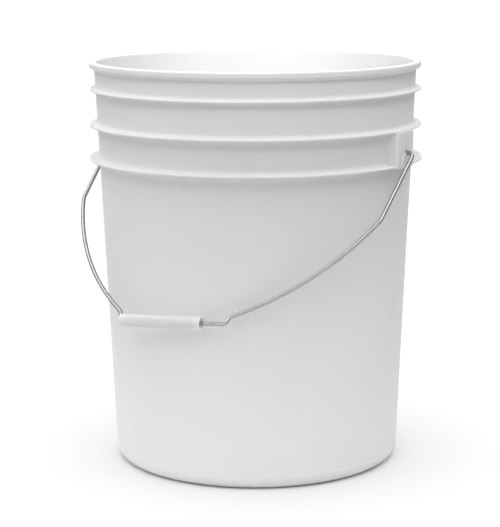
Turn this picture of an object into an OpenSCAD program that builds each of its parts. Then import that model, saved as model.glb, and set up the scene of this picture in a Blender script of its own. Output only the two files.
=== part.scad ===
/* [Pail] */
// Overall height of the pail
pail_h = 368; // [320:1:420]
// Outer radius of the wall where its line meets the floor
base_r = 131; // [120:0.5:136]
// Outer radius of the wall where its line meets the top
top_r = 147; // [144:0.5:149]
// Thickness of the wall
wall_t = 2.3; // [1.8:0.1:3]
// Thickness of the bottom
bottom_t = 2.8; // [2:0.1:4]
// Outer radius of the rounded base corner
corner_r = 11.6; // [8:0.2:16]
// How far the base corner stands proud of the wall at the mould's parting line
parting_step = 0.3; // [0.1:0.05:0.6]
// Width of the flat ring that the pail stands on
foot_w = 10; // [6:0.5:20]
// How far the bottom panel is raised off the ground
panel_lift = 4.5; // [2:0.25:8]
// Radius of the mark that the moulding gate leaves under the bottom
gate_r = 6; // [3:0.5:12]
// How far the gate mark stands below the bottom panel
gate_h = 1.2; // [0.4:0.1:1.8]

/* [Rim] */
// How far the bead's outer face, which a lid snaps over, stands out from the top of the wall
rim_overhang = 4; // [3:0.1:6]
// Height of the bead's outer face
rim_h = 5.4; // [4:0.1:8]
// Radius of the bead's upper edges
rim_edge_r = 1.6; // [0.8:0.1:2]
// Radius of the bead's lower edge
rim_lower_edge_r = 0.9; // [0.4:0.1:1.2]
// Height of the slope from under the bead back to the wall
rim_slope_h = 2.6; // [1:0.1:4]

/* [Rings] */
// Thickness of each ring flange
ring_t = 1.7; // [1.4:0.1:3]
// Radius of a ring's outer edges
ring_edge_r = 0.6; // [0.3:0.05:0.65]
// Radius of the fillets between a ring and the wall
ring_root_r = 1.5; // [0.5:0.1:2.5]
// How far the top ring stands out from the wall
top_ring_w = 5.4; // [4:0.1:9]
// How far the middle ring stands out from the wall
middle_ring_w = 7.4; // [6:0.1:11]
// How far the bottom ring stands out from the wall
bottom_ring_w = 9.5; // [6:0.1:13]
// Depth of the top ring below the top of the pail
top_ring_drop = 25; // [20:0.2:32]
// Depth of the middle ring below the top of the pail
middle_ring_drop = 57.2; // [50:0.2:62]
// Depth of the bottom ring below the top of the pail
bottom_ring_drop = 87.8; // [84:0.2:96]

/* [Ears] */
// Width of an ear
ear_w = 31.5; // [28:0.5:40]
// Thickness of an ear's face and sides
ear_t = 2.2; // [1.6:0.1:2.4]
// Thickness of the roof of the pocket behind the ear's face
ear_roof_t = 1.6; // [1:0.1:3]
// How far the flat face stands proud of the middle ring's edge
ear_proud = 1.7; // [0.2:0.1:2.4]
// How far an ear reaches below the bottom ring
ear_skirt = 0.6; // [0.4:0.1:3]
// Radius of the ear's upright edges
ear_edge_r = 2; // [1:0.1:2.1]
// Radius of the fillets where the ear's sides run into the wall
ear_flare_r = 3.4; // [1:0.1:4]
// Height of the pivot hole above the bottom ring
pivot_rise = 11.6; // [10:0.2:13]
// Radial clearance between the wire and the pivot hole
pivot_clearance = 0.3; // [0.2:0.05:0.6]
// Radius of the raised half-round pad below the pivot hole
pad_r = 9; // [6:0.5:11]
// How far the pad stands proud of the ear's face
pad_t = 0.8; // [0.4:0.1:1.2]

/* [Bail] */
// Diameter of the bail wire
wire_d = 3.6; // [3:0.1:4]
// Distance from the pivots to the middle of the wire's straight, along the bail
bail_drop = 202; // [195:1:230]
// How far the straight is bent out of level, with its right end up
straight_tilt = 5.1; // [0:0.1:7]
// How much further out the right leg starts, as the bail has slid to that side
leg_play = 3.6; // [0:0.1:4]
// How far the right leg leans inwards on its way down
right_leg_lean = 3.9; // [0:0.1:5]
// How far the left leg leans inwards on its way down
left_leg_lean = 1.5; // [0:0.1:5]
// Bend radius where the right leg turns into its pivot
right_elbow_r = 5; // [3.2:0.1:6]
// Bend radius where the left leg turns into its pivot
left_elbow_r = 3.4; // [3.2:0.1:5]
// How far inside the face of the left ear's pad the pivot starts to bend
elbow_sink = 0.7; // [0:0.05:0.7]
// Bend radius of the hooked end behind the ear
hook_r = 3; // [2.4:0.1:3.2]
// Reach of the hooked end from the pivot's axis
hook_reach = 9; // [7:0.5:10]
// Turn of the kink between a leg and the arch
kink_turn = 20; // [16:0.5:26]
// Bend radius of the kink
kink_r = 12; // [8:0.5:20]
// Radius of the arch on each side
arch_r = 241; // [230:1:250]
// Slope of the wire where the right arch ends, from level
right_arch_end = 30.3; // [28:0.1:34]
// Slope of the wire where the left arch ends, from level
left_arch_end = 32; // [28:0.1:34]
// Slope of the short riser between the arch and the straight, from the straight
riser_slope = 67; // [60:0.5:72]
// Length of the right riser's straight part
right_riser_len = 2.7; // [1:0.1:9]
// Length of the left riser's straight part
left_riser_len = 5.7; // [1:0.1:9]
// Bend radius where the arch turns into the riser
riser_r = 7; // [5:0.5:10]
// Bend radius where the riser turns into the straight
shoulder_r = 4.5; // [3.5:0.5:6]

/* [Grip] */
// Outer diameter of the grip
grip_d = 12; // [11:0.1:14]
// Length of the grip
grip_len = 81; // [70:0.5:95]
// Thickness of the grip's tube wall, of its webs and of its inner sleeve
grip_wall_t = 1.1; // [0.8:0.1:1.3]
// Thickness of the plate across the middle of the grip
grip_plate_t = 2; // [1:0.5:4]
// Radius of the grip's end edges
grip_edge_r = 0.5; // [0.2:0.05:0.5]
// Radial clearance between the wire and the grip's sleeve
grip_clearance = 0.3; // [0.2:0.05:0.4]
// How far the sleeve and the webs stay inside the tube's ends
sleeve_inset = 3; // [1:0.1:3.2]
// Depth of the step where the tube's open ends are a little wider than its hollow
mouth_step = 0.1; // [0.05:0.05:0.2]
// Gap between the sleeve's end and the bend that it has slid up to
grip_end_gap = 0.3; // [0.2:0.1:2]
// Gap between the grip and the wall that it hangs against, in the middle of the bail
rest_gap = 0.6; // [0.5:0.05:1.5]

/* [Hidden] */
$fn = 96;

// Overlap that makes one solid run into the next, and cuts run past a face
lap = 1;
// Half the seam between neighbouring runs of wire, and how far a fillet's end is sunk
seam = 0.02;
wire_r = wire_d / 2;
grip_r = grip_d / 2;

// Wall: a straight line in section, leaning out by its draft
wall_slope = (top_r - base_r) / pail_h;
draft = atan(wall_slope);
function wall_at(z) = base_r + wall_slope * z;
function inside_at(z) = wall_at(z) - wall_t / cos(draft);

// Base corner, outside and inside
corner_out_r = wall_at(corner_r) + parting_step;
corner_mid_r = corner_out_r - corner_r;
inner_corner_r = corner_r - bottom_t;
inner_corner_mid_r = inside_at(corner_r) - inner_corner_r;
foot_in_r = corner_mid_r - foot_w;
panel_r = foot_in_r - panel_lift;
rise_shift = bottom_t * (sqrt(2) - 1);

// Outer radius of the rim bead
rim_r = top_r + rim_overhang;

// Heights of the rings' middles, and the rings' outer radii
top_ring_z = pail_h - top_ring_drop;
middle_ring_z = pail_h - middle_ring_drop;
bottom_ring_z = pail_h - bottom_ring_drop;
top_ring_r = wall_at(top_ring_z) + top_ring_w;
middle_ring_r = wall_at(middle_ring_z) + middle_ring_w;
bottom_ring_r = wall_at(bottom_ring_z) + bottom_ring_w;

// Ears between the lower two rings, with their pivot holes and pockets
ear_bottom_z = bottom_ring_z - ring_t / 2 - ear_skirt;
ear_top_z = middle_ring_z - ring_t / 2 + ring_edge_r / 4;
ear_x = middle_ring_r + ear_proud;
ear_root_x = wall_at(ear_bottom_z) - 2 * wall_t;
ear_flare_y = ear_w / 2 + ear_flare_r;
ear_flare_x = sqrt(pow(wall_at(ear_bottom_z), 2) - pow(ear_flare_y, 2)) - seam;
pivot_z = bottom_ring_z + pivot_rise;
pivot_hole_r = wire_r + pivot_clearance;
pocket_x = ear_x - ear_t;
pocket_half_w = ear_w / 2 - ear_t;
pocket_top_z = middle_ring_z - ring_t / 2 - ear_roof_t;
nick_w = 2 * pivot_clearance + wire_r;
nick_h = 2 * wire_r;

// Bail: its runs are counted from the middle of the straight out to each hooked end, side 1 or -1
function leg_lean(side) = side > 0 ? right_leg_lean : left_leg_lean;
function elbow_r(side) = side > 0 ? right_elbow_r : left_elbow_r;
function arch_end(side) = side > 0 ? right_arch_end : left_arch_end;
function riser_len(side) = side > 0 ? right_riser_len : left_riser_len;
function leg_x(side) = ear_x + pad_t + left_elbow_r - elbow_sink + (side > 0 ? leg_play : 0);
hook_x = (wall_at(pivot_z) + pocket_x) / 2;
function bend_dx(r, a, b) = sign(b - a) * r * (sin(b) - sin(a));
function bend_dz(r, a, b) = sign(b - a) * r * (cos(a) - cos(b));
function straight_slope(side) = side * straight_tilt;
function riser_level(side) = straight_slope(side) + riser_slope;
function leg_level(side) = 90 - leg_lean(side);
function arch_top(side) = leg_level(side) - kink_turn;

// How far the bends between the straight and the leg go along and up
function shoulder_dx(side) = bend_dx(shoulder_r, straight_slope(side), riser_level(side))
    + riser_len(side) * cos(riser_level(side)) + bend_dx(riser_r, riser_level(side), arch_end(side));
function shoulder_dz(side) = bend_dz(shoulder_r, straight_slope(side), riser_level(side))
    + riser_len(side) * sin(riser_level(side)) + bend_dz(riser_r, riser_level(side), arch_end(side));
function arch_dx(side) = bend_dx(arch_r, arch_end(side), arch_top(side))
    + bend_dx(kink_r, arch_top(side), leg_level(side));
function arch_dz(side) = bend_dz(arch_r, arch_end(side), arch_top(side))
    + bend_dz(kink_r, arch_top(side), leg_level(side));

// What is left for the straight and the leg, which together end at the pivot's elbow
function rest_dx(side) = leg_x(side) - arch_dx(side) - shoulder_dx(side);
function rest_dz(side) = bail_drop - arch_dz(side) - shoulder_dz(side)
    - bend_dz(elbow_r(side), leg_level(side), 180);
function straight_len(side) =
    (rest_dx(side) * cos(leg_lean(side)) - rest_dz(side) * sin(leg_lean(side)))
    / cos(straight_slope(side) + leg_lean(side));
function leg_len(side) =
    (rest_dz(side) * cos(straight_slope(side)) - rest_dx(side) * sin(straight_slope(side)))
    / cos(straight_slope(side) + leg_lean(side));
function pin_len(side) = leg_x(side) + bend_dx(elbow_r(side), leg_level(side), 180) - hook_r - hook_x;

// Each run is a straight length, then the radius and the turn of the bend after it
function bail_runs(side) = [
    [0, shoulder_r, riser_slope],
    [riser_len(side), riser_r, arch_end(side) - riser_level(side)],
    [0, arch_r, arch_top(side) - arch_end(side)],
    [0, kink_r, kink_turn],
    [leg_len(side), elbow_r(side), 90 + leg_lean(side)],
    [pin_len(side), hook_r, -90]
];

// Depth below the wire's surface of the core that joins two runs, and half its length
core_depth = 0.06;
core_half_len = 0.3;

// The bail hangs with its grip against the wall: its lean from straight down
hang = asin((wall_at(pivot_z) * cos(draft) + grip_r + rest_gap) / bail_drop) - draft;
grip_mid = grip_len / 2 - sleeve_inset + grip_end_gap - straight_len(-1);
bore_r = wire_r + grip_clearance;
sleeve_r = bore_r + grip_wall_t;
hollow_r = grip_r - grip_wall_t;
hollow_len = (grip_len - grip_plate_t) / 2;

// A quarter disc, with its round side down and outwards
module corner_quarter(mid_r, r, z) {
    translate([mid_r, z])
        intersection() {
            circle(r);
            translate([0, -r]) square(r);
        }
}

// The pail's outside as if it were full, without rim, rings and ears
module wall_body() {
    rotate_extrude() {
        polygon([
            [0, panel_lift],
            [panel_r, panel_lift],
            [foot_in_r, 0],
            [corner_mid_r, 0],
            [corner_mid_r, corner_r],
            [wall_at(corner_r), corner_r],
            [wall_at(pail_h - rim_h / 2), pail_h - rim_h / 2],
            [0, pail_h - rim_h / 2]
        ]);
        corner_quarter(corner_mid_r, corner_r, corner_r);
    }
}

// The space inside the pail, with its rounded mouth
module inside_space() {
    mouth_r = inside_at(pail_h);
    floor_z = panel_lift + bottom_t;
    rotate_extrude() {
        polygon([
            [0, floor_z],
            [panel_r + rise_shift, floor_z],
            [foot_in_r + rise_shift, bottom_t],
            [inner_corner_mid_r, bottom_t],
            [inner_corner_mid_r, corner_r],
            [inside_at(corner_r), corner_r],
            [inside_at(pail_h + lap), pail_h + lap],
            [0, pail_h + lap]
        ]);
        corner_quarter(inner_corner_mid_r, inner_corner_r, corner_r);
        difference() {
            translate([mouth_r - lap, pail_h - rim_edge_r]) square([lap + rim_edge_r, rim_edge_r + lap]);
            translate([mouth_r + rim_edge_r, pail_h - rim_edge_r]) circle(rim_edge_r);
        }
    }
}

// The bead round the mouth
module rim_bead() {
    face_z = pail_h - rim_h;
    upper_z = pail_h - rim_edge_r;
    lower_z = face_z + rim_lower_edge_r;
    slope_z = face_z - rim_slope_h;
    root_r = inside_at(slope_z) + wall_t / 2;
    rotate_extrude() {
        polygon([
            [root_r, slope_z],
            [wall_at(slope_z), slope_z],
            [rim_r - rim_lower_edge_r, face_z],
            [rim_r, lower_z],
            [rim_r, upper_z],
            [rim_r - rim_edge_r, pail_h],
            [root_r, pail_h]
        ]);
        translate([rim_r - rim_edge_r, upper_z]) circle(rim_edge_r);
        translate([rim_r - rim_lower_edge_r, lower_z]) circle(rim_lower_edge_r);
    }
}

// Half of a ring's section above its middle: the flange with its rounded edge and its root fillet
module ring_half(r, z, up) {
    half_t = ring_t / 2;
    root_x = min(wall_at(z), wall_at(z + up * half_t));
    in_x = root_x - wall_t / 2;
    translate([0, z])
        mirror([0, up < 0 ? 1 : 0]) {
            translate([in_x, 0]) square([r - in_x, half_t - ring_edge_r]);
            translate([in_x, 0]) square([r - ring_edge_r - in_x, half_t]);
            translate([r - ring_edge_r, half_t - ring_edge_r]) circle(ring_edge_r);
            difference() {
                translate([in_x, 0]) square([root_x + ring_root_r - in_x, half_t + ring_root_r]);
                translate([root_x + ring_root_r, half_t + ring_root_r]) circle(ring_root_r);
            }
        }
}

module ring(r, z) {
    rotate_extrude() {
        ring_half(r, z, 1);
        ring_half(r, z, -1);
    }
}

// An ear's block, seen from above: a box with rounded outer edges and roots that flare into the wall
module ear_block() {
    half_w = ear_w / 2;
    translate([0, 0, ear_bottom_z])
        linear_extrude(ear_top_z - ear_bottom_z) {
            translate([ear_root_x, -half_w]) square([ear_x - ear_edge_r - ear_root_x, ear_w]);
            translate([ear_root_x, ear_edge_r - half_w])
                square([ear_x - ear_root_x, ear_w - 2 * ear_edge_r]);
            for (side = [-1, 1])
                translate([ear_x - ear_edge_r, side * (half_w - ear_edge_r)]) circle(ear_edge_r);
            difference() {
                translate([ear_root_x, -ear_flare_y])
                    square([ear_flare_x + ear_flare_r - ear_root_x, 2 * ear_flare_y]);
                for (side = [-1, 1])
                    translate([ear_flare_x + ear_flare_r, side * ear_flare_y]) circle(ear_flare_r);
            }
        }
}

// The raised pad: half-round at its top, level with the pivot, and straight down to the ear's edge
module ear_pad() {
    pad_z = pivot_z - pad_r;
    translate([pocket_x + ear_t / 2, 0, 0])
        rotate([90, 0, 90])
            linear_extrude(ear_t / 2 + pad_t) {
                translate([0, pad_z]) circle(pad_r);
                translate([-pad_r, ear_bottom_z]) square([2 * pad_r, pad_z - ear_bottom_z]);
            }
}

// The gap that an ear takes out of the bottom ring
module ear_gap() {
    translate([ear_root_x, ear_edge_r / 2 - ear_w / 2, ear_bottom_z])
        cube([bottom_ring_r + lap - ear_root_x, ear_w - ear_edge_r, pivot_rise + ring_t]);
}

// The pocket behind an ear's face, open at the bottom
module ear_pocket() {
    translate([ear_root_x - lap, -pocket_half_w, ear_bottom_z - lap])
        cube([pocket_x - ear_root_x + lap, 2 * pocket_half_w, pocket_top_z - ear_bottom_z + lap]);
}

// The hole for the bail, with the small nick above it
module pivot_hole() {
    translate([pocket_x - lap, 0, pivot_z])
        rotate([0, 90, 0])
            cylinder(r = pivot_hole_r, h = ear_t + pad_t + 2 * lap);
    translate([ear_x - pad_t, -nick_w / 2, pivot_z])
        cube([pad_t + lap, nick_w, pivot_hole_r + nick_h]);
}

module both_sides() {
    children();
    rotate([0, 0, 180]) children();
}

// The lower two rings and the ears between them, with the ears' pockets and holes
module eared_rings() {
    difference() {
        union() {
            ring(middle_ring_r, middle_ring_z);
            difference() {
                ring(bottom_ring_r, bottom_ring_z);
                both_sides() ear_gap();
            }
            both_sides() {
                ear_block();
                ear_pad();
            }
        }
        both_sides() {
            ear_pocket();
            pivot_hole();
        }
    }
}

module pail() {
    color([0.93, 0.94, 0.93]) {
        difference() {
            union() {
                wall_body();
                rim_bead();
                ring(top_ring_r, top_ring_z);
                eared_rings();
            }
            inside_space();
        }
        translate([0, 0, panel_lift - gate_h]) cylinder(r = gate_r, h = gate_h + bottom_t / 2);
    }
}

// The core that joins two runs of wire, along X
module wire_core() {
    rotate([0, 90, 0]) cylinder(r = wire_r - core_depth, h = 2 * core_half_len, center = true);
}

// A straight run of wire along X
module wire_straight(length) {
    translate([seam, 0, 0]) rotate([0, 90, 0]) cylinder(r = wire_r, h = length - 2 * seam);
}

// A bend that starts along X and turns in the XY plane
module wire_bend(r, turn) {
    trim = seam / r * 180 / PI;
    mirror([0, turn < 0 ? 1 : 0, 0])
        translate([0, r, 0])
            rotate([0, 0, trim - 90])
                rotate_extrude(angle = abs(turn) - 2 * trim)
                    translate([r, 0]) circle(wire_r);
}

// The runs from number i on, each placed at the end of the one before
module wire_runs(runs, i = 0) {
    run = runs[i];
    r = run[1];
    turn = run[2];
    if (run[0] > 0) {
        wire_straight(run[0]);
        translate([run[0], 0, 0]) wire_core();
    }
    translate([run[0], 0, 0]) {
        wire_bend(r, turn);
        translate([bend_dx(r, 0, turn), bend_dz(r, 0, turn), 0])
            rotate([0, 0, turn]) {
                wire_core();
                if (i + 1 < len(runs)) wire_runs(runs, i + 1);
                else wire_straight(hook_reach - hook_r);
            }
    }
}

// Places what is on the wire's straight, along X, as the bail hangs from its pivots
module on_straight() {
    translate([0, 0, pivot_z])
        rotate([-hang, 0, 0])
            translate([0, 0, -bail_drop])
                rotate([0, -straight_tilt, 0]) children();
}

module bail_wire() {
    color("silver")
        on_straight() {
            translate([-straight_len(-1), 0, 0]) wire_straight(straight_len(-1) + straight_len(1));
            for (side = [-1, 1])
                mirror([side < 0 ? 1 : 0, 0, 0])
                    translate([straight_len(side), 0, 0]) {
                        wire_core();
                        rotate([90, 0, 0]) wire_runs(bail_runs(side));
                    }
        }
}

// The hollows in one end of the grip: all but the tube, the sleeve, two level webs and one below
module grip_hollows() {
    linear_extrude(hollow_len + lap)
        difference() {
            circle(hollow_r);
            circle(sleeve_r);
            square([grip_wall_t, 2 * grip_r], center = true);
            translate([0, -grip_wall_t / 2]) square([grip_r, grip_wall_t]);
        }
}

// The grip on the wire's straight, with its single web at the bottom
module grip() {
    half_len = grip_len / 2;
    color([0.95, 0.95, 0.94])
        on_straight()
            translate([grip_mid, 0, 0])
                rotate([hang, 0, 0]) rotate([0, 90, 0])
                    difference() {
                        rotate_extrude() {
                            translate([0, -half_len]) square([grip_r - grip_edge_r, grip_len]);
                            translate([0, grip_edge_r - half_len])
                                square([grip_r, grip_len - 2 * grip_edge_r]);
                            for (end = [-1, 1])
                                translate([grip_r - grip_edge_r, end * (half_len - grip_edge_r)])
                                    circle(grip_edge_r);
                        }
                        cylinder(r = bore_r, h = grip_len + 2 * lap, center = true);
                        for (end = [0, 1])
                            mirror([0, 0, end]) {
                                translate([0, 0, grip_plate_t / 2]) grip_hollows();
                                translate([0, 0, half_len - sleeve_inset])
                                    cylinder(r = hollow_r + mouth_step, h = sleeve_inset + lap);
                            }
                    }
}

pail();
bail_wire();
grip();
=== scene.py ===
import math

import bpy
from mathutils import Matrix, Vector


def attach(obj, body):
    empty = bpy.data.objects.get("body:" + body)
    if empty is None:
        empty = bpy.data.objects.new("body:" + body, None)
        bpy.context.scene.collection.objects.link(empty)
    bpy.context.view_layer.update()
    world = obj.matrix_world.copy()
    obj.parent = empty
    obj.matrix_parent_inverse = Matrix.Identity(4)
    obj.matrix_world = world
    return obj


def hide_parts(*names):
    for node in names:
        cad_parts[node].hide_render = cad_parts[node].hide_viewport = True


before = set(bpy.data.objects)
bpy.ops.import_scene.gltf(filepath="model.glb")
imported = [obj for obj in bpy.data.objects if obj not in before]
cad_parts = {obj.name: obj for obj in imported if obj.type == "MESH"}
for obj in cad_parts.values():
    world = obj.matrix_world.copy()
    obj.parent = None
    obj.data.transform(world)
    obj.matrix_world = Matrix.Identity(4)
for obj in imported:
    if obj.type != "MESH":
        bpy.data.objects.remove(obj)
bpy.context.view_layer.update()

# The pieces' sizes are in millimetres and degrees; the meshes and the studio are in metres.
MM = 0.001
# How far cutting solids reach past what they cut, and what keeps faces from coinciding
CUT_ROOM = 5.0
FACE_GAP = 0.05

# Pail
PAIL_HEIGHT = 368.0
BASE_RADIUS = 131.0
TOP_RADIUS = 147.0
WALL = 2.3
BOTTOM = 2.8
CORNER_RADIUS = 11.6
PARTING_STEP = 0.3
FOOT_WIDTH = 10.0
PANEL_LIFT = 4.5
GATE_RADIUS = 6.0
GATE_HEIGHT = 1.2
PAIL_FACETS = 288

# Rim bead
RIM_OVERHANG = 4.0
RIM_FACE = 5.4
RIM_EDGE = 1.6
RIM_LOWER_EDGE = 0.9
RIM_SLOPE = 2.6

# Ring flanges: how far each lies below the top, and how far it stands out from the wall
RINGS = {"top": (25.0, 5.4), "middle": (57.2, 7.4), "bottom": (87.8, 9.5)}
RING_HALF = 0.85
RING_EDGE = 0.6
RING_ROOT = 1.5
RING_UPPER_ROOT = 3.5
RING_GAP_ROOM = 0.4

# Ears
EAR_WIDTH = 31.5
EAR_WALL = 2.2
EAR_ROOF = 1.6
EAR_PROUD = 1.7
EAR_SKIRT = 0.6
EAR_EDGE = 2.0
EAR_FLARE = 3.4
EAR_FLARE_SINK = 0.02
EAR_ROOT = 0.8
PIVOT_RISE = 11.6
PIVOT_CLEARANCE = 0.3
PAD_RADIUS = 9.0
PAD_HEIGHT = 0.8
NICK_DEPTH = 0.4

# Bail, bent by hand: where its sides differ, 1 is the right side and -1 the left
WIRE = 1.8
BAIL_DROP = 202.0
STRAIGHT_TILT = 5.1
LEG_PLAY = 3.6
LEG_LEAN = {1: 3.9, -1: 1.5}
ELBOW_RADIUS = {1: 5.0, -1: 3.4}
ELBOW_SINK = 0.7
HOOK_RADIUS = 3.0
HOOK_REACH = 9.0
HOOK_EDGE = 0.4
KINK_TURN = 20.0
KINK_RADIUS = 12.0
ARCH_RADIUS = 241.0
ARCH_END = {1: 30.3, -1: 32.0}
RISER_SLOPE = 67.0
RISER_LENGTH = {1: 2.7, -1: 5.7}
RISER_RADIUS = 7.0
SHOULDER_RADIUS = 4.5

# Grip
GRIP_RADIUS = 6.0
GRIP_LENGTH = 81.0
GRIP_WALL = 1.1
GRIP_PLATE = 2.0
GRIP_EDGE = 0.5
GRIP_LIP = 0.25
GRIP_CLEARANCE = 0.3
SLEEVE_INSET = 3.0
MOUTH_STEP = 0.1
GRIP_END_GAP = 0.3
REST_GAP = 0.6

DRAFT = math.atan((TOP_RADIUS - BASE_RADIUS) / PAIL_HEIGHT)


def wall_out(z):
    """Outer radius of the wall at a height."""
    return BASE_RADIUS + (TOP_RADIUS - BASE_RADIUS) * z / PAIL_HEIGHT


def wall_in(z):
    """Inner radius of the wall at a height."""
    return wall_out(z) - WALL / math.cos(DRAFT)


RING_Z = {name: PAIL_HEIGHT - drop for name, (drop, _) in RINGS.items()}
RING_R = {name: wall_out(RING_Z[name]) + out for name, (_, out) in RINGS.items()}
EAR_FACE = RING_R["middle"] + EAR_PROUD
EAR_BOTTOM_Z = RING_Z["bottom"] - RING_HALF - EAR_SKIRT
EAR_TOP_Z = RING_Z["middle"] - RING_HALF + RING_EDGE / 4
PIVOT_Z = RING_Z["bottom"] + PIVOT_RISE
HANG = math.asin(
    (wall_out(PIVOT_Z) * math.cos(DRAFT) + GRIP_RADIUS + REST_GAP) / BAIL_DROP
) - DRAFT


# Bench work


def put_down():
    """Leaves edit mode and deselects everything."""
    if bpy.context.object and bpy.context.object.mode != "OBJECT":
        bpy.ops.object.mode_set(mode="OBJECT")
    bpy.ops.object.select_all(action="DESELECT")


def pick_up(piece):
    """Makes one piece the only selected one, and the active one."""
    put_down()
    piece.select_set(True)
    bpy.context.view_layer.objects.active = piece


def named(name):
    """Names the piece that was just added, and puts its place into its mesh."""
    piece = bpy.context.object
    piece.name = piece.data.name = name
    bpy.ops.object.transform_apply(location=True, rotation=True, scale=True)
    return piece


def block(name, low, high):
    """A box between two corners."""
    put_down()
    middle = [(a + b) / 2 * MM for a, b in zip(low, high)]
    bpy.ops.mesh.primitive_cube_add(size=1, location=middle)
    bpy.context.object.scale = [(b - a) * MM for a, b in zip(low, high)]
    return named(name)


def select_points(piece, wanted):
    """Selects the mesh's points that a test on their place, in millimetres, picks out."""
    bpy.ops.object.mode_set(mode="OBJECT")
    mesh = piece.data
    for part in (mesh.polygons, mesh.edges):
        for item in part:
            item.select = False
    for point in mesh.vertices:
        point.select = bool(wanted(point.co / MM))
    bpy.ops.object.mode_set(mode="EDIT")
    bpy.ops.mesh.select_mode(type="VERT")
    bpy.ops.mesh.select_mode(type="EDGE")


def close_up(piece, gap=0.001):
    """Merges doubled points and turns all faces outwards."""
    pick_up(piece)
    bpy.ops.object.mode_set(mode="EDIT")
    bpy.ops.mesh.select_mode(type="VERT")
    bpy.ops.mesh.select_all(action="SELECT")
    bpy.ops.mesh.remove_doubles(threshold=gap * MM)
    bpy.ops.mesh.normals_make_consistent(inside=False)
    bpy.ops.object.mode_set(mode="OBJECT")


def combine(piece, other, how):
    """Joins another solid to a piece, or cuts it out, and removes the other."""
    pick_up(piece)
    work = piece.modifiers.new("combine", "BOOLEAN")
    work.operation = how
    work.solver = "EXACT"
    work.object = other
    bpy.ops.object.modifier_apply(modifier=work.name)
    bpy.data.objects.remove(other, do_unlink=True)


def finish_faces(piece, angle=32):
    """Smooth shading that keeps edges sharper than an angle."""
    pick_up(piece)
    bpy.ops.object.shade_smooth_by_angle(angle=math.radians(angle))
    put_down()


class Pen:
    """Draws in the XZ plane by extruding what is selected, straight on or round a bend."""

    def __init__(self, x, z, heading=0.0, loop=False):
        self.x, self.z, self.heading = x, z, heading
        self.extrude = (
            bpy.ops.mesh.extrude_region_move if loop else bpy.ops.mesh.extrude_vertices_move
        )

    def to(self, x, z):
        """A straight stretch to a point."""
        step = (x - self.x, 0, z - self.z)
        self.extrude(TRANSFORM_OT_translate={"value": [s * MM for s in step]})
        self.heading = math.degrees(math.atan2(step[2], step[0]))
        self.x, self.z = x, z

    def ahead(self, length):
        """A straight stretch of some length, in the direction that the pen is going."""
        heading = self.heading
        turn = math.radians(heading)
        self.to(self.x + length * math.cos(turn), self.z + length * math.sin(turn))
        self.heading = heading

    def bend(self, radius, turn, steps):
        """A bend to the left if turn is positive, else to the right."""
        side = 90 if turn > 0 else -90
        out = math.radians(self.heading + side)
        mid = (self.x + radius * math.cos(out), self.z + radius * math.sin(out))
        bpy.ops.mesh.spin(
            steps=steps,
            angle=math.radians(abs(turn)),
            center=(mid[0] * MM, 0, mid[1] * MM),
            axis=(0, 1 if turn > 0 else -1, 0),
        )
        self.heading += turn
        end = math.radians(self.heading - side)
        self.x = mid[0] + radius * math.cos(end)
        self.z = mid[1] + radius * math.sin(end)


def start_line(name, x, z, heading=0.0):
    """A new mesh of one point, and the pen that draws on from it."""
    put_down()
    bpy.ops.mesh.primitive_plane_add(size=MM)
    line = named(name)
    bpy.ops.object.mode_set(mode="EDIT")
    bpy.ops.mesh.select_mode(type="VERT")
    bpy.ops.mesh.select_all(action="SELECT")
    bpy.ops.mesh.merge(type="CENTER")
    bpy.ops.transform.translate(value=(x * MM, 0, z * MM))
    return line, Pen(x, z, heading)


def lathe(piece, steps, angle=360.0, middle=(0, 0, 0), axis=(0, 0, 1)):
    """Turns the drawn section round an axis."""
    bpy.ops.mesh.select_all(action="SELECT")
    bpy.ops.mesh.spin(
        steps=steps,
        angle=math.radians(angle),
        center=[m * MM for m in middle],
        axis=axis,
        use_auto_merge=angle == 360.0,
    )
    close_up(piece)


# Turning the pail and joining its ears


def draw_ring(pen, name):
    """One ring flange in section, with root fillets and a rounded edge."""
    z, r = RING_Z[name], RING_R[name]
    low, high = z - RING_HALF - RING_ROOT, z + RING_HALF + RING_UPPER_ROOT
    pen.to(wall_out(low), low)
    pen.heading = 90
    pen.bend(RING_ROOT, -90, steps=6)
    pen.to(r - RING_EDGE, z - RING_HALF)
    pen.bend(RING_EDGE, 90, steps=6)
    pen.ahead(2 * (RING_HALF - RING_EDGE))
    pen.bend(RING_EDGE, 90, steps=6)
    pen.to(wall_out(high) + RING_UPPER_ROOT, z + RING_HALF)
    pen.bend(RING_UPPER_ROOT, -90, steps=8)


def draw_rim(pen):
    """The bead round the mouth, from the wall outside to the wall inside."""
    face_z = PAIL_HEIGHT - RIM_FACE
    rim_r = TOP_RADIUS + RIM_OVERHANG
    pen.to(wall_out(face_z - RIM_SLOPE), face_z - RIM_SLOPE)
    pen.to(rim_r - RIM_LOWER_EDGE, face_z)
    pen.heading = 0
    pen.bend(RIM_LOWER_EDGE, 90, steps=6)
    pen.ahead(RIM_FACE - RIM_LOWER_EDGE - RIM_EDGE)
    pen.bend(RIM_EDGE, 90, steps=8)
    pen.to(wall_in(PAIL_HEIGHT) + RIM_EDGE, PAIL_HEIGHT)
    pen.bend(RIM_EDGE, 90, steps=8)


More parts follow.
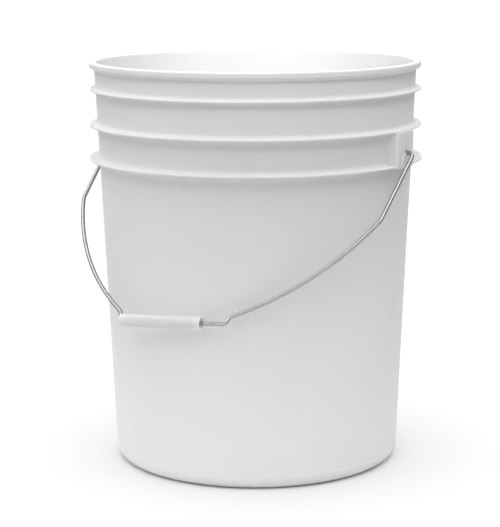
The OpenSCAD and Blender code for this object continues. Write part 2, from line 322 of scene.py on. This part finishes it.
def turn_pail():
    """The wall, bottom, rings and rim, turned from one section."""
    corner_mid = wall_out(CORNER_RADIUS) + PARTING_STEP - CORNER_RADIUS
    foot_in = corner_mid - FOOT_WIDTH
    panel = foot_in - PANEL_LIFT
    gate_z = PANEL_LIFT - GATE_HEIGHT
    piece, pen = start_line("pail_moulding", 0, gate_z)
    pen.to(GATE_RADIUS, gate_z)
    pen.to(GATE_RADIUS, PANEL_LIFT)
    for share in (0.25, 0.5, 0.75, 1.0):
        pen.to(GATE_RADIUS + share * (panel - GATE_RADIUS), PANEL_LIFT)
    pen.to(foot_in, 0)
    pen.to(corner_mid, 0)
    pen.bend(CORNER_RADIUS, 90, steps=12)
    pen.to(wall_out(CORNER_RADIUS), CORNER_RADIUS)
    below = RING_Z["bottom"] - RING_HALF - RING_ROOT
    for step in range(1, 12):
        z = CORNER_RADIUS + (below - CORNER_RADIUS) * step / 12
        pen.to(wall_out(z), z)
    draw_ring(pen, "bottom")
    z = (RING_Z["bottom"] + RING_Z["middle"]) / 2
    pen.to(wall_out(z), z)
    draw_ring(pen, "middle")
    z = (RING_Z["middle"] + RING_Z["top"]) / 2
    pen.to(wall_out(z), z)
    draw_ring(pen, "top")
    draw_rim(pen)
    top_in = PAIL_HEIGHT - RIM_EDGE
    for step in range(1, 17):
        z = top_in + (CORNER_RADIUS - top_in) * step / 16
        pen.to(wall_in(z), z)
    inner_corner = CORNER_RADIUS - BOTTOM
    pen.heading = -90
    pen.bend(inner_corner, -90, steps=10)
    shift = BOTTOM * (math.sqrt(2) - 1)
    pen.to(foot_in + shift, BOTTOM)
    pen.to(panel + shift, PANEL_LIFT + BOTTOM)
    for share in (0.75, 0.5, 0.25, 0.0):
        pen.to(share * (panel + shift), PANEL_LIFT + BOTTOM)
    lathe(piece, PAIL_FACETS)
    return piece


def ring_gap():
    """The stretch of the bottom ring that an ear takes the place of."""
    low = EAR_BOTTOM_Z - CUT_ROOM
    high = RING_Z["bottom"] + RING_HALF + RING_UPPER_ROOT + RING_GAP_ROOM
    half = math.degrees(math.asin((EAR_WIDTH / 2 - EAR_EDGE / 2) / EAR_FACE))
    outside = RING_R["bottom"] + CUT_ROOM
    gap, pen = start_line("ring_gap", wall_out(low) + FACE_GAP, low)
    pen.to(outside, low)
    pen.to(outside, high)
    pen.to(wall_out(high) + FACE_GAP, high)
    bpy.ops.mesh.select_all(action="SELECT")
    bpy.ops.mesh.edge_face_add()
    bpy.ops.object.mode_set(mode="OBJECT")
    gap.rotation_euler = (0, 0, math.radians(-half))
    bpy.ops.object.transform_apply(location=True, rotation=True, scale=True)
    bpy.ops.object.mode_set(mode="EDIT")
    lathe(gap, 12, angle=-2 * half)
    return gap


def ear_block():
    """An ear's outline seen from above, flared at its roots, drawn and raised to its height."""
    half = EAR_WIDTH / 2
    tip_y = half + EAR_FLARE
    tip_x = math.sqrt(wall_out(EAR_BOTTOM_Z) ** 2 - tip_y**2) - EAR_FLARE_SINK
    root_x = tip_x - EAR_ROOT
    ear, pen = start_line("ear", root_x, -tip_y)
    pen.to(tip_x, -tip_y)
    pen.heading = 90
    pen.bend(EAR_FLARE, -90, steps=8)
    pen.to(EAR_FACE - EAR_EDGE, -half)
    pen.bend(EAR_EDGE, 90, steps=8)
    pen.to(EAR_FACE, half - EAR_EDGE)
    pen.bend(EAR_EDGE, 90, steps=8)
    pen.to(tip_x + EAR_FLARE, half)
    pen.bend(EAR_FLARE, -90, steps=8)
    pen.to(root_x, tip_y)
    bpy.ops.mesh.select_all(action="SELECT")
    bpy.ops.mesh.edge_face_add()
    height = (EAR_TOP_Z - EAR_BOTTOM_Z) * MM
    bpy.ops.mesh.extrude_region_move(TRANSFORM_OT_translate={"value": (0, -height, 0)})
    bpy.ops.object.mode_set(mode="OBJECT")
    ear.rotation_euler = (math.radians(-90), 0, 0)
    ear.location = (0, 0, EAR_BOTTOM_Z * MM)
    bpy.ops.object.transform_apply(location=True, rotation=True, scale=True)
    close_up(ear)
    return ear


def ear_pad():
    """The raised pad under the pivot hole: half a disc, drawn down to the ear's edge."""
    low_x, high_x = EAR_FACE - EAR_WALL / 2, EAR_FACE + PAD_HEIGHT
    pad_z = PIVOT_Z - PAD_RADIUS
    put_down()
    bpy.ops.mesh.primitive_cylinder_add(
        vertices=64,
        radius=PAD_RADIUS * MM,
        depth=(high_x - low_x) * MM,
        location=((low_x + high_x) / 2 * MM, 0, pad_z * MM),
        rotation=(0, math.radians(90), 0),
    )
    pad = named("pad")
    bpy.ops.object.mode_set(mode="EDIT")
    bpy.ops.mesh.select_all(action="SELECT")
    bpy.ops.mesh.bisect(
        plane_co=(0, 0, pad_z * MM), plane_no=(0, 0, 1), use_fill=True, clear_inner=True
    )
    down = EAR_BOTTOM_Z + FACE_GAP - pad_z
    bpy.ops.mesh.select_mode(type="FACE")
    bpy.ops.mesh.extrude_region_move(TRANSFORM_OT_translate={"value": (0, 0, down * MM)})
    close_up(pad)
    return pad


def pivot_hole():
    """The round hole through an ear's face."""
    put_down()
    bpy.ops.mesh.primitive_cylinder_add(
        vertices=48,
        radius=(WIRE + PIVOT_CLEARANCE) * MM,
        depth=2 * CUT_ROOM * MM,
        location=(EAR_FACE * MM, 0, PIVOT_Z * MM),
        rotation=(0, math.radians(90), 0),
    )
    return named("pivot_hole")


def wall_core():
    """A turned cone that fills the pail up to the middle of its wall, at the ears' height."""
    low, high = EAR_BOTTOM_Z - CUT_ROOM, EAR_TOP_Z + CUT_ROOM
    core, pen = start_line("core", 0, low)
    for z in (low, high):
        pen.to(wall_in(z) + WALL / 2, z)
    pen.to(0, high)
    lathe(core, PAIL_FACETS)
    return core


def make_ear():
    """A hollow ear with its pad, hole and nick."""
    half = EAR_WIDTH / 2
    ear = ear_block()
    combine(ear, wall_core(), "DIFFERENCE")
    combine(ear, ear_pad(), "UNION")
    pocket_top = RING_Z["middle"] - RING_HALF - EAR_ROOF
    pocket = block(
        "pocket",
        (wall_in(EAR_BOTTOM_Z) - CUT_ROOM, EAR_WALL - half, EAR_BOTTOM_Z - CUT_ROOM),
        (EAR_FACE - EAR_WALL, half - EAR_WALL, pocket_top),
    )
    combine(ear, pocket, "DIFFERENCE")
    combine(ear, pivot_hole(), "DIFFERENCE")
    nick_half = PIVOT_CLEARANCE + WIRE / 2
    nick = block(
        "nick",
        (EAR_FACE - NICK_DEPTH, -nick_half, PIVOT_Z),
        (EAR_FACE + CUT_ROOM, nick_half, PIVOT_Z + PIVOT_CLEARANCE + 3 * WIRE),
    )
    combine(ear, nick, "DIFFERENCE")
    return ear


def half_turned(piece):
    """A copy of a piece, turned half round the pail."""
    pick_up(piece)
    bpy.ops.object.duplicate()
    copy = bpy.context.object
    copy.rotation_euler = (0, 0, math.pi)
    bpy.ops.object.transform_apply(location=True, rotation=True, scale=True)
    return copy


def make_pail():
    """The turned pail with an ear on either side, each in a gap of the bottom ring."""
    pail = turn_pail()
    gap = ring_gap()
    combine(pail, half_turned(gap), "DIFFERENCE")
    combine(pail, gap, "DIFFERENCE")
    ear = make_ear()
    combine(pail, half_turned(ear), "UNION")
    combine(pail, ear, "UNION")
    close_up(pail, gap=0.002)
    finish_faces(pail)
    return pail


# Bending the bail and making its grip


def bend_run(radius, first, last):
    """How far a bend between two slopes goes along and up."""
    way = 1 if last > first else -1
    first, last = math.radians(first), math.radians(last)
    return Vector((
        way * radius * (math.sin(last) - math.sin(first)),
        way * radius * (math.cos(first) - math.cos(last)),
    ))


class BailSide:
    """Slopes and lengths of one side of the bail, from the straight to the hooked end."""

    def __init__(self, side):
        self.lean = LEG_LEAN[side]
        self.elbow_radius = ELBOW_RADIUS[side]
        self.arch_end = ARCH_END[side]
        self.arch_top = 90 - self.lean - KINK_TURN
        self.riser_length = RISER_LENGTH[side]
        slope = side * STRAIGHT_TILT
        self.riser_level = slope + RISER_SLOPE
        self.hook_x = (wall_out(PIVOT_Z) + EAR_FACE - EAR_WALL) / 2
        leg_x = EAR_FACE + PAD_HEIGHT + ELBOW_RADIUS[-1] - ELBOW_SINK
        if side > 0:
            leg_x += LEG_PLAY
        level = math.radians(self.riser_level)
        rise = (
            bend_run(SHOULDER_RADIUS, slope, self.riser_level)
            + self.riser_length * Vector((math.cos(level), math.sin(level)))
            + bend_run(RISER_RADIUS, self.riser_level, self.arch_end)
            + bend_run(ARCH_RADIUS, self.arch_end, self.arch_top)
            + bend_run(KINK_RADIUS, self.arch_top, 90 - self.lean)
        )
        elbow = bend_run(self.elbow_radius, 90 - self.lean, 180)
        # What is left over, along and up, for the straight and the leg
        x, z = leg_x - rise.x, BAIL_DROP - rise.y - elbow.y
        tilt, lean = math.radians(slope), math.radians(self.lean)
        self.straight = (x * math.cos(lean) - z * math.sin(lean)) / math.cos(tilt + lean)
        self.leg = (z * math.cos(tilt) - x * math.sin(tilt)) / math.cos(tilt + lean)
        self.pin = leg_x + elbow.x - HOOK_RADIUS - self.hook_x


LEFT, RIGHT = BailSide(-1), BailSide(1)


def on_straight():
    """Where the middle of the wire's straight is, and how it lies, as the bail hangs."""
    return (
        Matrix.Translation((0, 0, PIVOT_Z * MM))
        @ Matrix.Rotation(-HANG, 4, "X")
        @ Matrix.Translation((0, 0, -BAIL_DROP * MM))
        @ Matrix.Rotation(math.radians(-STRAIGHT_TILT), 4, "Y")
    )


def wire_run(side):
    """The pen's moves along one side of the wire, from the hooked end to the straight."""
    ahead, bend = Pen.ahead, Pen.bend
    return [
        (ahead, HOOK_REACH - HOOK_RADIUS),
        (bend, HOOK_RADIUS, -90, 10),
        (ahead, side.pin),
        (bend, side.elbow_radius, 90 + side.lean, 12),
        *[(ahead, side.leg / 4)] * 4,
        (bend, KINK_RADIUS, KINK_TURN, 6),
        (bend, ARCH_RADIUS, side.arch_top - side.arch_end, 28),
        (bend, RISER_RADIUS, side.arch_end - side.riser_level, 6),
        (ahead, side.riser_length),
        (bend, SHOULDER_RADIUS, RISER_SLOPE, 10),
    ]


def make_bail():
    """One wire, drawn from hooked end to hooked end in its own plane, then hung."""
    start_x = -LEFT.hook_x
    put_down()
    bpy.ops.mesh.primitive_circle_add(
        vertices=24, radius=WIRE * MM, location=(start_x * MM, 0, HOOK_REACH * MM)
    )
    wire = named("bail_formed_wire")
    bpy.ops.object.mode_set(mode="EDIT")
    bpy.ops.mesh.select_all(action="SELECT")
    pen = Pen(start_x, HOOK_REACH, heading=-90, loop=True)
    straight = [(Pen.ahead, (LEFT.straight + RIGHT.straight) / 6)] * 6
    for move, *sizes in wire_run(LEFT) + straight + wire_run(RIGHT)[::-1]:
        move(pen, *sizes)
    for side in (-1, 1):
        select_points(wire, lambda p: p.z > HOOK_REACH - FACE_GAP and p.x * side > 0)
        bpy.ops.mesh.edge_face_add()
        bpy.ops.mesh.bevel(offset=HOOK_EDGE * MM, segments=2, affect="EDGES")
    bpy.ops.object.mode_set(mode="OBJECT")
    close_up(wire)
    wire.rotation_euler = (-HANG, 0, 0)
    wire.location = (0, 0, PIVOT_Z * MM)
    bpy.ops.object.transform_apply(location=True, rotation=True, scale=True)
    finish_faces(wire, angle=50)
    return wire


def make_grip():
    """A tube with an inner sleeve, a plate across its middle, and webs between the two."""
    half = GRIP_LENGTH / 2
    inner = half - SLEEVE_INSET
    bore = WIRE + GRIP_CLEARANCE
    sleeve = bore + GRIP_WALL
    hollow = GRIP_RADIUS - GRIP_WALL
    mouth = hollow + MOUTH_STEP
    plate = GRIP_PLATE / 2
    grip, pen = start_line("grip_tube", GRIP_EDGE - half, GRIP_RADIUS)
    for step in range(1, 9):
        pen.to(GRIP_EDGE - half + (GRIP_LENGTH - 2 * GRIP_EDGE) * step / 8, GRIP_RADIUS)
    pen.bend(GRIP_EDGE, -90, steps=6)
    pen.to(half, mouth + GRIP_LIP)
    pen.bend(GRIP_LIP, -90, steps=4)
    for x, r in (
        (inner, mouth), (inner, hollow), (plate, hollow), (plate, sleeve), (inner, sleeve),
        (inner, bore), (-inner, bore),
        (-inner, sleeve), (-plate, sleeve), (-plate, hollow), (-inner, hollow), (-inner, mouth),
        (GRIP_LIP - half, mouth),
    ):
        pen.to(x, r)
    pen.bend(GRIP_LIP, -90, steps=4)
    pen.to(-half, GRIP_RADIUS - GRIP_EDGE)
    pen.bend(GRIP_EDGE, -90, steps=6)
    lathe(grip, 96, axis=(1, 0, 0))
    near, far = (bore + sleeve) / 2, (hollow + GRIP_RADIUS) / 2
    end, thick = inner - FACE_GAP, GRIP_WALL / 2
    webs = (
        ((-end, near, -thick), (end, far, thick)),
        ((-end, -far, -thick), (end, -near, thick)),
        ((-end, -thick, -far), (end, thick, -near)),
    )
    for low, high in webs:
        combine(grip, block("web", low, high), "UNION")
    close_up(grip)
    pick_up(grip)
    along = (half - SLEEVE_INSET + GRIP_END_GAP - LEFT.straight) * MM
    grip.matrix_world = (
        on_straight() @ Matrix.Translation((along, 0, 0)) @ Matrix.Rotation(HANG, 4, "X")
    )
    bpy.ops.object.transform_apply(location=True, rotation=True, scale=True)
    finish_faces(grip)
    return grip


# Finishes


class Recipe:
    """A node material, with short calls for adding and joining nodes."""

    def __init__(self, name):
        self.material = bpy.data.materials.new(name)
        self.material.use_nodes = True
        self.nodes = self.material.node_tree.nodes
        self.links = self.material.node_tree.links
        self.shader = self.nodes["Principled BSDF"]
        self.place = self.add("ShaderNodeTexCoord").outputs["Object"]

    def add(self, kind, **settings):
        node = self.nodes.new(kind)
        for key, value in settings.items():
            setattr(node, key, value)
        return node

    def join(self, out, into):
        self.links.new(out, into)

    def feed(self, socket, out):
        """Joins a node to one of the shader's sockets."""
        self.join(out, self.shader.inputs[socket])

    def stretched(self, scale):
        """The piece's coordinates, stretched along its axes."""
        node = self.add("ShaderNodeMapping")
        node.inputs["Scale"].default_value = scale
        self.join(self.place, node.inputs["Vector"])
        return node.outputs["Vector"]

    def noise(self, scale, detail=3.0, rough=0.55, where=None):
        node = self.add("ShaderNodeTexNoise")
        node.inputs["Scale"].default_value = scale
        node.inputs["Detail"].default_value = detail
        node.inputs["Roughness"].default_value = rough
        self.join(where or self.place, node.inputs["Vector"])
        return node.outputs["Fac"]

    def spread(self, value, low, high, start=0.3, end=0.7):
        """A value brought from one range to another."""
        node = self.add("ShaderNodeMapRange")
        node.inputs["From Min"].default_value = start
        node.inputs["From Max"].default_value = end
        node.inputs["To Min"].default_value = low
        node.inputs["To Max"].default_value = high
        self.join(value, node.inputs["Value"])
        return node.outputs["Result"]

    def between(self, value, first, second):
        """A colour between two, by a value from 0 to 1."""
        node = self.add("ShaderNodeMix", data_type="RGBA")
        node.inputs["A"].default_value = (*first, 1)
        node.inputs["B"].default_value = (*second, 1)
        self.join(value, node.inputs["Factor"])
        return node.outputs["Result"]

    def relief(self, height, strength, depth, under=None):
        """A bump, on top of another one if given."""
        node = self.add("ShaderNodeBump")
        node.inputs["Strength"].default_value = strength
        node.inputs["Distance"].default_value = depth * MM
        self.join(height, node.inputs["Height"])
        if under is not None:
            self.join(under, node.inputs["Normal"])
        return node.outputs["Normal"]

    def shade(self, **values):
        """Plain values, on the shader's own sockets."""
        for key, value in values.items():
            self.shader.inputs[key.replace("_", " ")].default_value = value


MILKY = (0.795, 0.798, 0.798), (0.825, 0.827, 0.827)
ZINC = (0.37, 0.38, 0.39), (0.47, 0.48, 0.49)
ZINC_EDGE = (0.1, 0.1, 0.1, 1)
GRIP_WHITE = (0.88, 0.885, 0.885), (0.92, 0.92, 0.92)


def natural_plastic():
    """Uncoloured polyethylene: milky, faintly cloudy, dull, with a soft moulding texture."""
    milk = Recipe("natural_plastic")
    cloud = milk.spread(milk.noise(scale=7, detail=4), 0, 1)
    milk.feed("Base Color", milk.between(cloud, *MILKY))
    milk.feed("Roughness", milk.spread(milk.noise(scale=45), 0.38, 0.46))
    peel = milk.relief(milk.noise(scale=90, detail=2), strength=0.03, depth=0.1)
    drawn = milk.noise(scale=30, where=milk.stretched((1, 1, 14)))
    milk.feed("Normal", milk.relief(drawn, strength=0.02, depth=0.1, under=peel))
    milk.shade(IOR=1.5, Specular_IOR_Level=0.03)
    milk.shade(Subsurface_Weight=0.15, Subsurface_Radius=(1, 1, 1), Subsurface_Scale=0.002)
    return milk.material


def zinc_wire():
    """Bright zinc-plated wire with a fine grain and a dull bloom, darker towards its edges."""
    zinc = Recipe("zinc_wire")
    bloom = zinc.spread(zinc.noise(scale=220, detail=4), 0, 1)
    zinc.feed("Base Color", zinc.between(bloom, *ZINC))
    zinc.feed("Roughness", zinc.spread(zinc.noise(scale=500), 0.06, 0.13))
    zinc.feed("Normal", zinc.relief(zinc.noise(scale=1800, detail=2), strength=0.12, depth=0.03))
    zinc.shade(Metallic=1.0, Specular_Tint=ZINC_EDGE)
    return zinc.material


def grip_plastic():
    """The grip's whiter plastic, milky enough that light goes through to its hollow ends."""
    white = Recipe("grip_plastic")
    cloud = white.spread(white.noise(scale=40), 0, 1)
    white.feed("Base Color", white.between(cloud, *GRIP_WHITE))
    white.feed("Roughness", white.spread(white.noise(scale=120), 0.30, 0.40))
    white.feed("Normal", white.relief(white.noise(scale=400, detail=2), strength=0.05, depth=0.08))
    white.shade(IOR=1.5, Specular_IOR_Level=0.4)
    white.shade(Subsurface_Weight=1.0, Subsurface_Radius=(1, 1, 1), Subsurface_Scale=0.0045)
    return white.material


def dress(piece, body, node, material):
    """Gives a piece its finish, and puts it in the place of its solid."""
    piece.data.materials.clear()
    piece.data.materials.append(material)
    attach(piece, body)
    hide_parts(node)


# Studio


OVERHEAD = {"From Min": 0.5, "From Max": 0.66, "To Min": 0.03, "To Max": 2.08}
LOW_FILL = {"From Min": 0.18, "From Max": 0.3, "To Min": 1.0, "To Max": 0.0}
LOW_FILL_LEVEL = 0.79
LOW_FILL_SIDE = 0.65
LOW_FILL_BEARING = -40.0
FLOOR_SIZE = 60.0
# The floor's colour holds a painted pool of light: pale round a point near the pail, dimming to a
# darker floor further out.
PAINTED_POOL_MIDDLE = (0.1, -0.12, 0.0)
PAINTED_POOL_EDGE = (0.38, 0.58)
PAINTED_POOL_LEVEL = 0.78
FLOOR_DIM = 0.2
FLOOR_TOP_UP = (0.8, 0.02)


def make_floor():
    """A floor with a painted pool of light, pale near the pail and dimming further out, topped up
    to white where it is only seen.
    """
    put_down()
    bpy.ops.mesh.primitive_plane_add(size=FLOOR_SIZE)
    floor = named("floor")
    pool_floor = Recipe("floor_painted_pool")
    away = pool_floor.add("ShaderNodeVectorMath", operation="DISTANCE")
    away.inputs[1].default_value = PAINTED_POOL_MIDDLE
    pool_floor.join(pool_floor.place, away.inputs[0])
    # Painted pool of light: the floor's colour is paler near the pail and fades to dim with
    # distance.
    white = pool_floor.spread(away.outputs["Value"], PAINTED_POOL_LEVEL, FLOOR_DIM, *PAINTED_POOL_EDGE)
    matte = pool_floor.add("ShaderNodeBsdfDiffuse")
    pool_floor.join(white, matte.inputs["Color"])
    path = pool_floor.add("ShaderNodeLightPath")
    seen = path.outputs["Is Camera Ray"]
    for ray in ("Is Glossy Ray", "Is Transmission Ray"):
        either = pool_floor.add("ShaderNodeMath", operation="MAXIMUM")
        pool_floor.join(seen, either.inputs[0])
        pool_floor.join(path.outputs[ray], either.inputs[1])
        seen = either.outputs[0]
    top_up = pool_floor.spread(white, *FLOOR_TOP_UP, FLOOR_DIM, PAINTED_POOL_LEVEL)
    level = pool_floor.add("ShaderNodeMath", operation="MULTIPLY")
    pool_floor.join(seen, level.inputs[0])
    pool_floor.join(top_up, level.inputs[1])
    glow = pool_floor.add("ShaderNodeEmission")
    pool_floor.join(level.outputs[0], glow.inputs["Strength"])
    both = pool_floor.add("ShaderNodeAddShader")
    pool_floor.join(matte.outputs[0], both.inputs[0])
    pool_floor.join(glow.outputs[0], both.inputs[1])
    pool_floor.join(both.outputs[0], pool_floor.nodes["Material Output"].inputs["Surface"])
    pool_floor.nodes.remove(pool_floor.shader)
    floor.data.materials.append(pool_floor.material)


def bearing(azimuth, elevation=0.0):
    """The direction to a place round the pail: azimuth 0 is the front, and 90 the right."""
    azimuth, elevation = math.radians(azimuth), math.radians(elevation)
    level = math.cos(elevation)
    return Vector((math.sin(azimuth) * level, -math.cos(azimuth) * level, math.sin(elevation)))


def light_world():
    """A wide light overhead, a dark gap under it, and a low band of fill, brightest at one side."""
    world = bpy.data.worlds.new("studio")
    bpy.context.scene.world = world
    world.use_nodes = True
    nodes, links = world.node_tree.nodes, world.node_tree.links
    place = nodes.new("ShaderNodeTexCoord")
    parts = nodes.new("ShaderNodeSeparateXYZ")
    links.new(place.outputs["Generated"], parts.inputs[0])

    def by_height(levels):
        node = nodes.new("ShaderNodeMapRange")
        node.interpolation_type = "SMOOTHSTEP"
        for key, value in levels.items():
            node.inputs[key].default_value = value
        links.new(parts.outputs["Z"], node.inputs["Value"])
        return node.outputs["Result"]

    def sum_up(how, first, second):
        node = nodes.new("ShaderNodeMath")
        node.operation = how
        links.new(first, node.inputs[0])
        if isinstance(second, float):
            node.inputs[1].default_value = second
        else:
            links.new(second, node.inputs[1])
        return node.outputs[0]

    side = nodes.new("ShaderNodeVectorMath")
    side.operation = "DOT_PRODUCT"
    side.inputs[1].default_value = LOW_FILL_SIDE * bearing(LOW_FILL_BEARING)
    links.new(place.outputs["Generated"], side.inputs[0])
    level = sum_up("ADD", side.outputs["Value"], LOW_FILL_LEVEL)
    fill = sum_up("MULTIPLY", by_height(LOW_FILL), level)
    total = sum_up("ADD", by_height(OVERHEAD), fill)
    links.new(total, nodes["Background"].inputs["Color"])


MOUTH_LAMP_POWER = 190.0
MOUTH_LAMP_CONE = 6.6
MOUTH_LAMP_BLEND = 0.2
MOUTH_LAMP_SIZE = 0.1
MOUTH_LAMP_DISTANCE = 3.0
MOUTH_LAMP_ELEVATION = 45.0
MOUTH_LAMP_REACH = 0.13
MOUTH_LAMP_AIM_HEIGHT = 0.345

CAMERA_AZIMUTH = 30.5
CAMERA_DISTANCE = 1.6299
CAMERA_HEIGHT = 0.4841
CAMERA_PITCH = 10.631
CAMERA_ROLL = -0.244
CAMERA_CLIP = (0.05, 200)
LENS = 121.42
SENSOR = 36
SHIFT_X = -0.01135
SHIFT_Y = 0.00095


def put_up(name, data):
    """Puts a lamp or a camera into the scene."""
    holder = bpy.data.objects.new(name, data)
    bpy.context.scene.collection.objects.link(holder)
    return holder


def light_mouth():
    """A narrow lamp that shines over the near rim on the far wall's inside."""
    lamp = bpy.data.lights.new("mouth_lamp", "SPOT")
    lamp.energy = MOUTH_LAMP_POWER
    lamp.spot_size = math.radians(MOUTH_LAMP_CONE)
    lamp.spot_blend = MOUTH_LAMP_BLEND
    lamp.shadow_soft_size = MOUTH_LAMP_SIZE
    holder = put_up("mouth_lamp", lamp)
    aim = -MOUTH_LAMP_REACH * bearing(CAMERA_AZIMUTH) + Vector((0, 0, MOUTH_LAMP_AIM_HEIGHT))
    towards = bearing(CAMERA_AZIMUTH, MOUTH_LAMP_ELEVATION)
    holder.location = aim + towards * MOUTH_LAMP_DISTANCE
    holder.rotation_euler = (-towards).to_track_quat("-Z", "Y").to_euler()


def set_camera():
    """A camera where the photograph's was."""
    data = bpy.data.cameras.new("camera")
    data.lens = LENS
    data.sensor_width = SENSOR
    data.shift_x, data.shift_y = SHIFT_X, SHIFT_Y
    data.clip_start, data.clip_end = CAMERA_CLIP
    camera = put_up("camera", data)
    camera.location = CAMERA_DISTANCE * bearing(CAMERA_AZIMUTH) + Vector((0, 0, CAMERA_HEIGHT))
    ahead = -bearing(CAMERA_AZIMUTH, CAMERA_PITCH)
    turn = ahead.to_track_quat("-Z", "Y").to_matrix()
    roll = Matrix.Rotation(math.radians(CAMERA_ROLL), 3, "Z")
    camera.rotation_euler = (turn @ roll).to_euler()
    bpy.context.scene.camera = camera


dress(make_pail(), "pail", "pail", natural_plastic())
dress(make_bail(), "bail", "bail_wire", zinc_wire())
dress(make_grip(), "grip", "grip", grip_plastic())

make_floor()
light_world()
light_mouth()
set_camera()
bpy.context.scene.view_settings.view_transform = "Standard"
